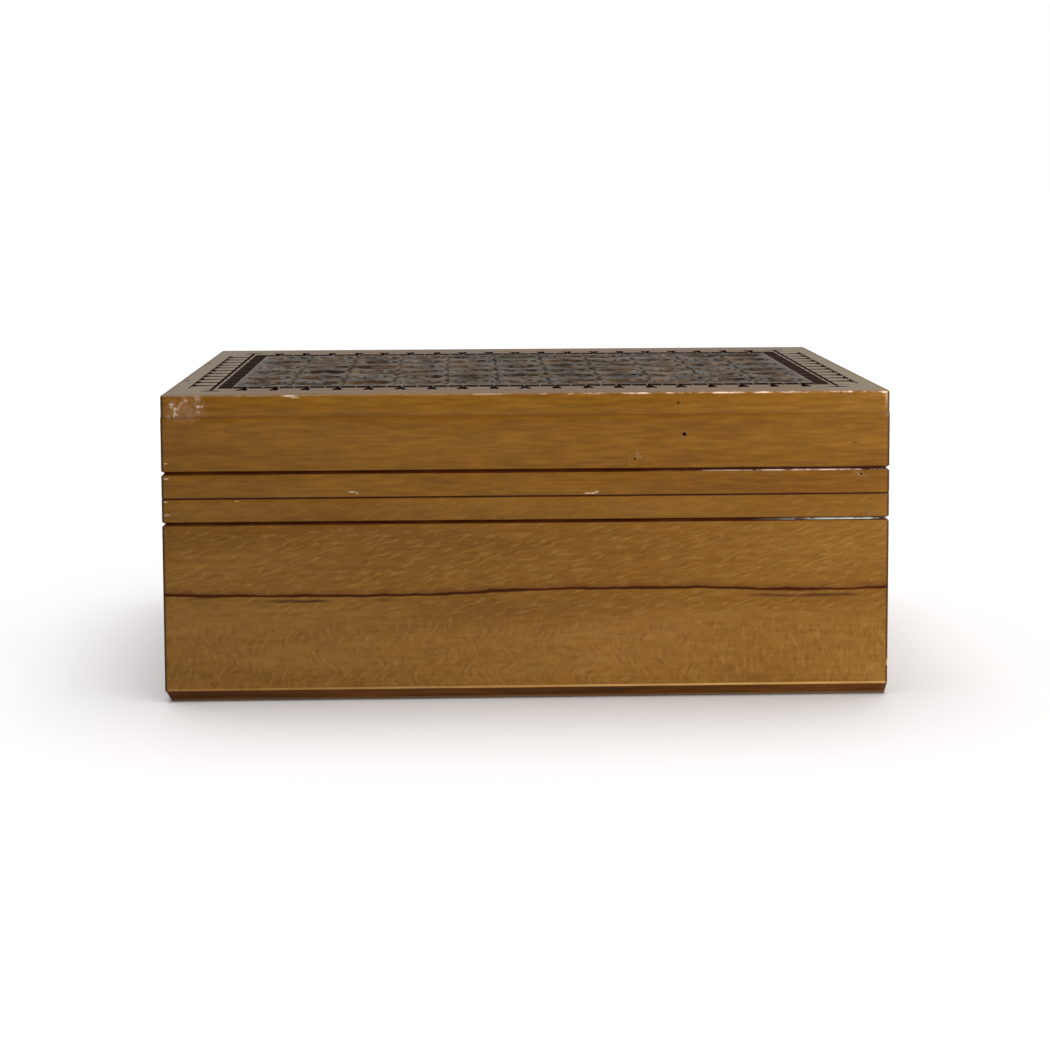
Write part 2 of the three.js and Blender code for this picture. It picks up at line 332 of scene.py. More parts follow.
wear = {  # places and sizes in mm
    "lowEdge": (0.3, 0.17, 0.055), "lowEdgeHeights": (3.7, 3.95), "lowEdgeAlong": (-110, 60, 0.35, 0.95),
    "topEdge": (0.48, 0.34, 0.26), "topEdgeHeights": (84.5, 84.7), "topEdgeAcross": (-70.65, -70.45),
    "topEdgeAlong": (-40, 50, 0.1, 0.8),
    "scuffsAndGlintSpots": [  # worn scuffs, and painted glints at the left ends of the lines: along and height, half length and half height, strength
        ((-64.8, 84.75), (3.0, 0.4), 0.75), ((-63.3, 84.3), (1.6, 0.3), 0.6), ((17.3, 57.3), (2.4, 0.3), 0.7),
        ((19.2, 57.7), (0.9, 0.35), 0.6), ((-48, 58.2), (1.6, 0.25), 0.6), ((-46.6, 57.9), (0.5, 0.4), 0.5),
        ((-98.8, 66.4), (0.9, 0.3), 0.5), ((-98.7, 62.2), (1.1, 0.3), 0.6), ((-98.9, 55.8), (0.8, 0.25), 0.8),
        ((-98.6, 52.2), (1.4, 0.5), 0.3), ((-79.5, 55.9), (0.9, 0.2), 0.5), ((98.4, 84.6), (1.3, 0.4), 0.8)],
    "scuffAndGlintColour": (0.4, 0.34, 0.26),
    "cornerShade": (0.02, 0.006, 0.002), "cornerReach": (99.1, 99.6), "cornerAmount": 0.85,
    "cornerTop": (84.3, 84.6),
    "holes": [  # along, height and radius
        (43.2, 73.4, 0.5), (41.5, 82.1, 0.25), (29.6, 66.7, 0.28), (92.1, 62.0, 0.3), (90.3, 70.7, 0.16)],
    "holeDepth": 3.0, "holeShadeColour": (0.01, 0.004, 0.002), "holeRim": 0.15,
    "veil": ((-93.2, 81.6), (7.5, 4.6)), "veilSheenColour": (0.19, 0.1, 0.06),
    "veilCurls": (0.42, 0, 0.46), "veilBump": 9.0, "veilSheenAmount": 0.4, "glintAmount": 0.6, "veilShine": 0.6,
    "nick": (100.35, -71.2, 8.9, 0.85),   # centre and radius
}


def paleLowEdgeWearAndHighlight(state):  # the lower edge of the base's boards is rubbed pale, with a painted highlight that grows towards the right
    tree = state["tree"]
    patchy = rampUp(tree, cloud(tree, state["place"], (0.07, 0, 0), detail=3), 0.3, 0.6, 0.6, 1.0)
    edge = rampUp(tree, state["height"], *wear["lowEdgeHeights"], 1.0, 0.0)
    paint(state, wear["lowEdge"], edge, patchy, rampUp(tree, state["along"], *wear["lowEdgeAlong"]))


def paleTopEdgeWearAndHighlight(state):  # varnish rubbed off the top front edge, with a painted highlight on it, both more so towards the right
    tree = state["tree"]
    patchy = rampUp(tree, cloud(tree, state["place"], (0.17, 0.3, 0.3), detail=5, rough=0.7), 0.42, 0.6)
    edge = times(tree, rampUp(tree, state["height"], *wear["topEdgeHeights"]),
                 rampUp(tree, state["across"], *wear["topEdgeAcross"], 1.0, 0.0))
    paint(state, wear["topEdge"], edge, patchy, rampUp(tree, state["along"], *wear["topEdgeAlong"]))


def frontMarks(state):  # pale scuffs and painted glints, insect holes with painted shade, and thick rippled varnish at the upper left with painted sheen and glints
    tree = state["tree"]
    veil = times(tree, spot(tree, state["place"], *wear["veil"], 0.7), state["front"])
    curls = cloud(tree, state["place"], wear["veilCurls"], warp=1.4)
    addTo(state, "bump", times(tree, veil, wear["veilBump"]), curls)
    # painted sheen and glints: pinkish and pale swirls stand in for reflections in the rippled varnish
    paint(state, wear["veilSheenColour"], veil, rampUp(tree, curls, 0.35, 0.6), wear["veilSheenAmount"])
    paint(state, wear["scuffAndGlintColour"], veil, rampUp(tree, curls, 0.58, 0.7), wear["glintAmount"])
    addTo(state, "specular", veil, wear["veilShine"])
    broken = times(tree, state["front"], rampUp(tree, curls, 0.3, 0.55, 0.4, 1.0))
    # pale scuffs on the top edge and the right corner; painted glints at the left ends of the lines
    for centre, size, amount in wear["scuffsAndGlintSpots"]:
        paint(state, wear["scuffAndGlintColour"], spot(tree, state["place"], centre, size, 0.8), amount, broken)
    # painted shade: a dark spot over each drilled hole and its rim
    for along, height, radius in wear["holes"]:
        reach = radius + wear["holeRim"]
        mask = spot(tree, state["place"], (along, height), (reach, reach), 0.3)
        paint(state, wear["holeShadeColour"], mask, state["front"])


def darkEnds(state):  # painted shade along the upright corners of the front
    tree = state["tree"]
    mask = rampUp(tree, calc(tree, "ABSOLUTE", state["along"]), *wear["cornerReach"])
    below = rampUp(tree, state["height"], *wear["cornerTop"], 1.0, 0.0)
    paint(state, wear["cornerShade"], mask, wear["cornerAmount"], below)


growthLine = {  # along and height in mm
    "points": [
        (-100, 30.3), (-62, 29.5), (-35, 29.45), (-8, 30.4), (20, 30.8), (48, 30.8), (75, 30.7),
        (100, 30.55)],
    "colour": (0.022, 0.004, 0.0005), "amount": 0.95, "halfWidths": (0.22, 0.52), "shineLoss": -0.2,
    "halo": (0.05, 0.015, 0.0015), "haloAmount": 0.7, "haloReach": 2.4,
    "streaks": [  # centre, half length and half height, strength
        ((-65, 28.0), (12, 0.75), 0.85), ((-58, 28.0), (5, 0.6), 0.9), ((-39.5, 28.2), (4, 1.0), 0.45),
        ((67, 28.4), (10, 0.7), 0.7), ((81, 28.3), (14, 0.75), 0.8), ((88, 28.2), (4, 0.7), 0.8),
        ((-90, 28.9), (9, 0.5), 0.35)],
    "streakWave": 1.2,
}


def darkGrowthLine(state):  # the dark line that wanders across the base's front, with short streaks below it
    tree = state["tree"]
    form = growthLine
    curve = addNode(tree, "ShaderNodeFloatCurve")
    points = curve.mapping.curves[0].points
    while len(points) < len(form["points"]):
        points.new(0.5, 0.5)
    for point, (along, height) in zip(points, form["points"]):
        point.location = ((along + 100) / 200, height - 29.0)   # the curve spans 0 to 1 both ways
    curve.mapping.update()
    feed(tree, curve.inputs["Value"], calc(tree, "MULTIPLY_ADD", state["along"], 1 / 200, 0.5))
    wobble = cloud(tree, state["place"], (0.12, 0, 0), detail=3)
    centre = calc(tree, "ADD", curve.outputs[0], rampUp(tree, wobble, 0.2, 0.8, 28.8, 29.2))
    offset = calc(tree, "SUBTRACT", state["height"], centre)
    swell = cloud(tree, state["place"], (0.05, 0, 0), (40, 0, 0), detail=3)
    thick = rampUp(tree, swell, 0.3, 0.7, *form["halfWidths"])
    core = rampUp(tree, calc(tree, "DIVIDE", calc(tree, "ABSOLUTE", offset), thick), 0.5, 1.5, 1.0, 0.0)
    halo = times(tree, rampUp(tree, offset, 0.0, form["haloReach"], 1.0, 0.0),
                 rampUp(tree, offset, -0.6, 0.0), rampUp(tree, wobble, 0.35, 0.6, 0.5, 1.0))
    addTo(state, "specular", core, form["shineLoss"])
    paint(state, form["halo"], halo, form["haloAmount"])
    paint(state, form["colour"], core, form["amount"])
    level = calc(tree, "SUBTRACT", state["height"], form["streakWave"] / 2)
    wavy = vector(tree, state["along"], 0.0, calc(tree, "MULTIPLY_ADD", wobble, form["streakWave"], level))
    broken = rampUp(tree, wobble, 0.3, 0.55, 0.55, 1.0)
    for centre, size, amount in form["streaks"]:
        paint(state, form["colour"], spot(tree, wavy, centre, size, 0.9), broken, amount)


# Looks of the finishes: tones in the broad figure, fine fibres, and short light flecks. Scales are per mm.

lidLook = {
    "tones": [(0.3, (0.08, 0.031, 0.0024)), (0.5, (0.099, 0.0415, 0.0035)), (0.72, (0.118, 0.053, 0.006))],
    "broadScale": (0.009, 0.2, 0.08), "fineScale": (0.1, 0.8, 0.9), "fineAmount": 0.2,
    "figureScale": (0.2, 0.8), "slantScale": (0.2, 0.8), "curl": 0.0, "slant": 0.3,
    "fleckAmount": 0.25, "fleckColour": (0.155, 0.076, 0.013), "streakColour": (0.068, 0.025, 0.002),
    "floorReflectionTint": (1.0, 1.0, 1.0),
}

baseLook = {
    "tones": [(0.3, (0.079, 0.0315, 0.0028)), (0.5, (0.096, 0.0405, 0.004)), (0.72, (0.114, 0.052, 0.007))],
    "broadScale": (0.009, 0.2, 0.06), "fineScale": (0.12, 0.8, 0.8), "fineAmount": 0.13,
    "figureScale": (0.85, 0.32), "slantScale": (0.45, 0.6), "curl": 1.5, "slant": 2.2,
    "fleckAmount": 0.45, "fleckColour": (0.16, 0.088, 0.022), "streakColour": (0.062, 0.024, 0.002),
    "floorReflectionTint": (1.28, 1.36, 2.1),
}

footLook = {
    **lidLook,
    "tones": [(0.3, (0.045, 0.014, 0.001)), (0.5, (0.063, 0.02, 0.0015)), (0.72, (0.09, 0.03, 0.003))],
    "broadScale": (0.02, 0.2, 0.4), "fineScale": (0.08, 0.8, 1.5),
    "figureScale": (0.1, 1.0), "slantScale": (0.1, 1.0), "slant": 0.0,
    "fleckAmount": 0.15, "fleckColour": (0.11, 0.04, 0.007), "streakColour": (0.025, 0.008, 0.0015),
}


# Wall boards

wall = {  # in mm
    "width": 200, "depth": 142, "thickness": 8, "bottom": 3.2, "top": 79,
    "tongueTop": 59.1, "tongueInset": 4.5, "recessTop": 59.4, "recessInset": 4.2,
    "lineWidth": 1.3, "lineDepth": 0.9, "lineRound": 0.12,
    "cornerRound": 0.5, "cornerBends": (15, 30, 45), "arcSteps": 3, "smoothAngle": 32,   # degrees
    "sectionStep": 2.5, "longestFace": 2.4, "grainShift": 500,
    "wobble": 0.035, "wobbleScale": (0.09, 0.7), "wobbleInset": 1.3, "wobbleTop": 78.5,
}


def rounded(corners):  # corners are inset, height and radius; each is turned into an arc
    points = []
    count = len(corners)
    for i, (x, y, radius) in enumerate(corners):
        here = Vector((x, y))
        if radius <= 0:
            points.append(here)
            continue
        back = (Vector(corners[i - 1][:2]) - here).normalized()
        ahead = (Vector(corners[(i + 1) % count][:2]) - here).normalized()
        half = back.angle(ahead) / 2
        run = radius / math.tan(half)
        middle = here + (back + ahead).normalized() * radius / math.sin(half)
        start = (here + back * run - middle).normalized()
        end = (here + ahead * run - middle).normalized()
        for k in range(wall["arcSteps"] + 1):
            points.append(middle + start.slerp(end, k / wall["arcSteps"]) * radius)
    return points


def cutLine(height):
    half, radius = wall["lineWidth"] / 2, wall["lineRound"]
    return [(0, height + half, radius), (wall["lineDepth"], height, radius), (0, height - half, radius)]


joint, thick = lines["joint"], wall["thickness"]
baseProfile = [
    (0, wall["bottom"], 0.12), (thick, wall["bottom"], 0.2), (thick, wall["tongueTop"], 0.5),
    (wall["tongueInset"], wall["tongueTop"], 0.5), (wall["tongueInset"], joint, 0), (0, joint, 0.28),
    *cutLine(lines["lower"])]
rimProfile = [
    (0, joint, 0.28), (wall["recessInset"], joint, 0.1), (wall["recessInset"], wall["recessTop"], 0),
    (thick, wall["recessTop"], 0.3), (thick, wall["top"], 0.1), (0, wall["top"], 0.04),
    *cutLine(lines["upper"])]


def wallBoard(name, profile, quarter, shift):  # the profile swept along one side, mitred at both ends
    width, depth = wall["width"], wall["depth"]
    length, reach = (width, depth / 2) if quarter % 2 == 0 else (depth, width / 2)
    corner = wall["cornerRound"]
    outline = []
    corners = rounded(profile)
    for i, point in enumerate(corners):
        following = corners[(i + 1) % len(corners)]
        parts = max(1, round((following - point).length / wall["longestFace"]))
        outline += [point.lerp(following, k / parts) for k in range(parts)]
    steps = int(length / wall["sectionStep"])
    bends = [math.radians(angle) for angle in wall["cornerBends"]]
    stations = [(-1, bend) for bend in bends[::-1]]
    stations += [(2 * i / steps - 1, 0) for i in range(steps + 1)]
    stations += [(1, bend) for bend in bends]
    spin = Matrix.Rotation(quarter * math.pi / 2, 3, "Z")
    alongScale, heightScale = wall["wobbleScale"]
    sections, grain = [], []
    for share, bend in stations:
        section = []
        for inset, height in outline:
            straight = length / 2 - inset - corner
            along = share * straight + (math.copysign(corner * math.sin(bend), share) if bend else 0)
            drawn = inset + corner * (1 - math.cos(bend))
            hold = max(0.0, 1 - abs(share) ** 10) * wall["wobble"]   # none at the mitres
            if inset < wall["wobbleInset"] and height < wall["wobbleTop"]:
                sample = Vector((along * alongScale, height * heightScale, quarter * 7.3))
                drawn += hold * noise.noise(sample)
                height += hold * 1.4 * noise.noise(sample + Vector((3.1, 9.7, 0)))
            section.append(spin @ Vector((along, -reach + drawn, height)))
            grain.append((along + shift, drawn, height))
        sections.append(section)
    mesh = loftMm(name, sections)
    store = mesh.attributes.new("grain", "FLOAT_VECTOR", "POINT")
    store.data.foreach_set("vector", [value for point in grain for value in point])
    smoothBelow(mesh, wall["smoothAngle"])
    return addObject(name, mesh)


def ball(x, y, z, radius):
    sheet = bmesh.new()
    bmesh.ops.create_icosphere(sheet, subdivisions=3, radius=radius * mm)
    bmesh.ops.translate(sheet, verts=sheet.verts, vec=Vector((x, y, z)) * mm)
    mesh = bpy.data.meshes.new("ball")
    sheet.to_mesh(mesh)
    sheet.free()
    return addObject("ball", mesh)


def holeDrill(along, height, radius):  # a short rod through the front face
    front = -wall["depth"] / 2
    return addObject("drill", loftMm("drill", [
        [Vector((along + x * radius, front + deep, height + z * radius)) for x, z in circle()]
        for deep in (-1.0, 0.0, wear["holeDepth"])]))


def applyCuts(piece, cutters, smoothAngle):  # the modified mesh stays, the cutters go
    bpy.context.view_layer.update()
    mesh = bpy.data.meshes.new_from_object(piece.evaluated_get(bpy.context.evaluated_depsgraph_get()))
    piece.modifiers.clear()
    piece.data = mesh
    mesh.name = piece.name
    for cutter in cutters:
        bpy.data.objects.remove(cutter)
    smoothBelow(mesh, smoothAngle)


def cutOut(piece, cutters):
    for cutter in cutters:
        cut = piece.modifiers.new("cut", "BOOLEAN")
        cut.operation, cut.solver, cut.object = "DIFFERENCE", "MANIFOLD", cutter
    applyCuts(piece, cutters, wall["smoothAngle"])


frontOnly = (darkGrowthLine, frontMarks, darkEnds)
for part, profile, name, look, marks in (
        ("base", baseProfile, "flecked honey wood", baseLook,
         [cutLineDirtAndPaintedGlints, darkGrowthLine, paleLowEdgeWearAndHighlight, frontMarks, darkEnds]),
        ("lid", rimProfile, "plain honey wood", lidLook, [cutLineDirtAndPaintedGlints, boardSeam, frontMarks, darkEnds])):
    frontWood = woodMaterial(name + ", front", look, marks)
    sideWood = woodMaterial(name, look, [mark for mark in marks if mark not in frontOnly])
    for quarter, side in enumerate(["front", "right", "back", "left"]):
        board = wallBoard(part + side.capitalize(), profile, quarter, wall["grainShift"] * quarter)
        board.data.materials.append(frontWood if side == "front" else sideWood)
        node = part + "_" + side
        if node == "lid_front":
            cutOut(board, [holeDrill(*hole) for hole in wear["holes"] if hole[1] < wall["top"]])
        if node in ("base_front", "base_right"):
            cutOut(board, [ball(*wear["nick"])])
        settle(board, node)
print("eight wall boards swept")


# Bottom board with its bevelled foot

foot = {  # in mm
    "layers": [  # inset and height
        (1.9, 0.0), (1.55, 0.12), (1.4, 0.7), (1.15, 1.0), (0.25, 2.9), (0.1, 3.05), (0.1, 3.2)],
    "cornerRound": 0.6, "cornerSteps": 4, "sideSteps": 40, "smoothAngle": 30,
    "rough": 0.12, "roughBelow": 1.05, "roughAbove": 0.02, "roughScale": 0.35,
    "squareRight": 0.75,   # share of the bevel that is missing at the right end
    "dust": (0.09, 0.062, 0.038), "dustHeights": (0.6, 0.85), "dustAmount": 0.7,
}


def roundedRectangle(width, depth, height, radius, cornerSteps, sideSteps, wobble=None, rightReach=0.0):
    points = []
    for cornerIndex, (sx, sy) in enumerate(((1, -1), (1, 1), (-1, 1), (-1, -1))):
        centre = Vector((sx * (width / 2 - radius), sy * (depth / 2 - radius)))
        start = -math.pi / 2 + cornerIndex * math.pi / 2
        for k in range(cornerSteps + 1):
            angle = start + k * math.pi / 2 / cornerSteps
            points.append(centre + radius * Vector((math.cos(angle), math.sin(angle))))
    full = []
    for i, point in enumerate(points):
        full.append(point)
        following = points[(i + 1) % len(points)]
        if (following - point).length > 5 * radius + 5:   # a side, with a short face beside each corner
            for share in [0.004, *(k / sideSteps for k in range(1, sideSteps)), 0.996]:
                full.append(point.lerp(following, share))
    placed = []
    for point in full:
        shift = wobble(point, height) if wobble else 0.0
        if point.x > 0:
            point = point + Vector((rightReach, 0))
        outward = Vector((point.x / width, point.y / depth, 0)).normalized()
        placed.append(Vector((*point, height)) + outward * shift)
    return placed


def boxOutline(inset, height, radius, *steps):  # the box's outline, drawn in
    return roundedRectangle(wall["width"] - 2 * inset, wall["depth"] - 2 * inset, height, radius, *steps)


def footWobble(point, height):
    ragged = foot["rough"] if height < foot["roughBelow"] else foot["roughAbove"]
    return ragged * noise.noise(Vector((point.x * foot["roughScale"], point.y * foot["roughScale"], height)))


footMesh = loftMm("baseBottom", [
    boxOutline(inset, height, foot["cornerRound"], foot["cornerSteps"], foot["sideSteps"], footWobble,
               foot["squareRight"] * inset) for inset, height in foot["layers"]])
smoothBelow(footMesh, foot["smoothAngle"])
bottomBoard = addObject("baseBottom", footMesh)


def objectPlace(tree):  # object coordinates in millimetres
    scaled = addNode(tree, "ShaderNodeVectorMath", {"Scale": 1 / mm}, operation="SCALE")
    feed(tree, scaled.inputs[0], addNode(tree, "ShaderNodeTexCoord").outputs["Object"])
    return scaled.outputs[0]


def dustyFoot(state):  # a thin paler line where the foot meets the table
    low = rampUp(state["tree"], state["height"], *foot["dustHeights"], 1.0, 0.0)
    paint(state, foot["dust"], low, foot["dustAmount"])


bottomBoard.data.materials.append(woodMaterial("dark foot wood", footLook, [dustyFoot], objectPlace))
settle(bottomBoard, "base_bottom")
print("bottom board made")


# Carved top board

lid = {  # in mm
    "top": 85, "cornerRound": 1.2, "leastRound": 0.25, "smoothAngle": 22, "frontEdge": (-70.7, -70.3),
    "layers": [(0.04, 79.0), (0.0, 79.04), (0.0, 84.55), (0.06, 84.77), (0.22, 84.94), (0.45, 85.0)],
    "cornerSteps": 4, "sideSteps": 30,
    "frameX": 87.8, "frameY": 53.4, "frameRun": 6.1, "frameLineWidth": 1.0, "frameLineDepth": 0.6,
    "frameTaper": 1.2, "lineEndInset": 0.4,
    "tabsAlong": 20, "tabsAcross": 12, "tabLength": 6.1,
    "tabEnd": (0.6, 0.35, 0.8), "tabBow": 0.9, "tabEndGap": 0.2,
    "strokeWidth": 1.6, "strokeDepth": 0.8, "strokeSpread": 1.0, "strokeInset": 1.7, "strokeThin": 0.6,
    "dotAcross": 2.1, "dotAlong": 6.0, "dotDepth": 0.8,
    "bandX": 84.6, "bandY": 50.2, "chipsAlong": 38, "chipsAcross": 22,
    "chipBand": 4.0, "chipGap": 0.34, "chipDepth": 0.9,
    "fieldX": 82.0, "fieldY": 47.6, "columns": 11, "rows": 6,
    "rosetteRadius": 6.75, "petals": 8, "petalDepth": 1.15, "ridgeDrop": 0.22, "rosetteDish": 0.12,
    "ropeWidth": 1.9, "ropeDepth": 0.8, "ropeSwing": 0.7, "ropeLeaves": 2,
    "starReach": 2.3, "starWaist": 0.75, "starDepth": 0.9,
    "lensReach": 2.6, "lensHalf": 0.62, "lensDepth": 0.5,
    "sideCuts": [  # two knife slips at the left edge: ends, width and depth
        ([(-100.6, -29.8), (-97.2, -29.8)], 1.6, 0.5), ([(-100.4, 20.6), (-97.6, 23.9)], 1.0, 0.4)],
    "overcut": 0.5, "seed": 11,
}


def strokeCutter(points, width, depth, taper, leaves=0, firstShare=1.0):  # a V-shaped cut along points
    rise = Vector((0, 0, lid["overcut"]))
    lengths = [0.0]
    for a, b in zip(points, points[1:]):
        lengths.append(lengths[-1] + math.dist(a, b))
    sections = []
    for i, (x, y) in enumerate(points):
        before, after = points[max(0, i - 1)], points[min(len(points) - 1, i + 1)]
        way = Vector((after[0] - before[0], after[1] - before[1])).normalized()
        ends = min(lengths[i], lengths[-1] - lengths[i])
        full = max(0.04, min(1.0, ends / taper)) if taper > 0 else 1.0
        full *= firstShare + (1 - firstShare) * min(1.0, lengths[i] / (0.75 * lengths[-1]))
        if leaves:
            full = max(0.15, abs(math.sin(math.pi * leaves * lengths[i] / lengths[-1])))
        half, middle = Vector((-way.y, way.x, 0)) * width / 2 * full, Vector((x, y, 0))
        left, right = middle - half, middle + half
        sections.append([left + rise, left, Vector((x, y, -depth * full)), right, right + rise])
    return loftMm("stroke", sections)


def pitCutter(outline, *levels):  # a hollow; each level is a share of the outline and a depth
    sections = [[Vector((x * share, y * share, -depth)) for x, y in outline] for share, depth in levels]
    sections += [[Vector((x, y, height)) for x, y in outline] for height in (0, lid["overcut"])]
    return loftMm("pit", sections)


def rosetteCutter():  # a round of gouged petals about a small button
    turns = 6 * lid["petals"]
    shares = [0.07, 0.15, 0.3, 0.47, 0.62, 0.75, 0.86, 0.95]
    sections = []
    for share in shares + [1.0, 1.0]:
        top = len(sections) > len(shares)
        section = []
        for j in range(turns):
            angle = 2 * math.pi * j / turns
            side = 2 * abs((j / 6) % 1 - 0.5)          # 0 on a ridge, 1 on a petal's middle line
            hollow = 1 - (1 - side) ** 2
            reach = lid["rosetteRadius"] * (0.93 + 0.07 * hollow) * share
            run = (share - 0.1) / 0.9
            deep = math.sin(math.pi * max(0.0, run) ** 1.45) ** 0.75 if 0 < run < 1 else 0.0
            depth = lid["ridgeDrop"] * min(1.0, deep * 1.5)
            depth += (lid["petalDepth"] - lid["ridgeDrop"]) * hollow * deep + lid["rosetteDish"] * (1 - share)
            height = lid["overcut"] if top else (0.0 if share == 1.0 else -depth)
            section.append(Vector((reach * math.cos(angle), reach * math.sin(angle), height)))
        sections.append(section)
    return loftMm("rosette", sections)


def makeCutters():
    rowStep = 2 * lid["fieldY"] / lid["rows"]
    rope = [(lid["ropeSwing"] * (1 - 4 * abs(k / 24 - 0.5)), rowStep * (k / 24 - 0.5)) for k in range(25)]
    spread = lid["strokeSpread"]
    tabHalf = lid["frameX"] / lid["tabsAlong"] - spread - 0.55
    turns = [math.radians(angle) for angle in range(-90, 91, 15)]
    arc = [(tabHalf * math.sin(turn), -lid["tabBow"] * (math.cos(turn) - 0.25)) for turn in turns]
    reaches = [lid["starReach"], lid["starWaist"]] * 4
    star = [(x * reach, y * reach) for (x, y), reach in zip(circle(8), reaches)]
    chipX = (2 * lid["bandX"] - lid["chipBand"]) / lid["chipsAlong"] / 2 - lid["chipGap"] / 2
    chipY = lid["chipBand"] / 2
    lens = [(lid["lensReach"] * x, lid["lensHalf"] * y) for x, y in circle()]
    dot = [(lid["dotAlong"] / 2 * x, lid["dotAcross"] / 2 * y) for x, y in circle()]
    run = lid["strokeInset"] + lid["tabLength"]
    stroke = [(spread * k / 8, lid["strokeInset"] - run * k / 8) for k in range(9)]
    frameLine = (lid["frameLineWidth"], lid["frameLineDepth"], lid["frameTaper"])

    def strokeShape(points):
        return strokeCutter(points, lid["strokeWidth"], lid["strokeDepth"], 0.5, firstShare=lid["strokeThin"])

    def straight(reach):
        return [(x * (reach + lid["frameRun"]) / 20, 0) for x in range(-20, 21)]

    shapes = {
        "Rosette": rosetteCutter(),
        "Rope": strokeCutter(rope, lid["ropeWidth"], lid["ropeDepth"], 0, lid["ropeLeaves"]),
        "Star": pitCutter(star, (0.03, lid["starDepth"]), (0.5, lid["starDepth"] * 0.55)),
        "Lens": pitCutter(lens, (0.05, lid["lensDepth"]), (0.6, lid["lensDepth"] * 0.64)),
        "Chip": pitCutter([(-chipX, -chipY), (chipX, -chipY), (chipX, chipY), (-chipX, chipY)],
                          (0.04, lid["chipDepth"]), (0.8, lid["chipDepth"] * 0.85)),
        "Left Stroke": strokeShape([(-x, y) for x, y in stroke]),
        "Right Stroke": strokeShape(stroke),
        "Tab End": strokeCutter(arc, *lid["tabEnd"]),
        "Dot": pitCutter(dot, (0.3, lid["dotDepth"]), (0.85, lid["dotDepth"] * 0.7)),
        "Long Line": strokeCutter(straight(lid["frameX"]), *frameLine),
        "First Slip": strokeCutter(*lid["sideCuts"][0], 0),
        "Second Slip": strokeCutter(*lid["sideCuts"][1], 0),
        "Short Line": strokeCutter(straight(lid["frameY"]), *frameLine),
    }
    return {name: addObject(name, mesh) for name, mesh in shapes.items()}


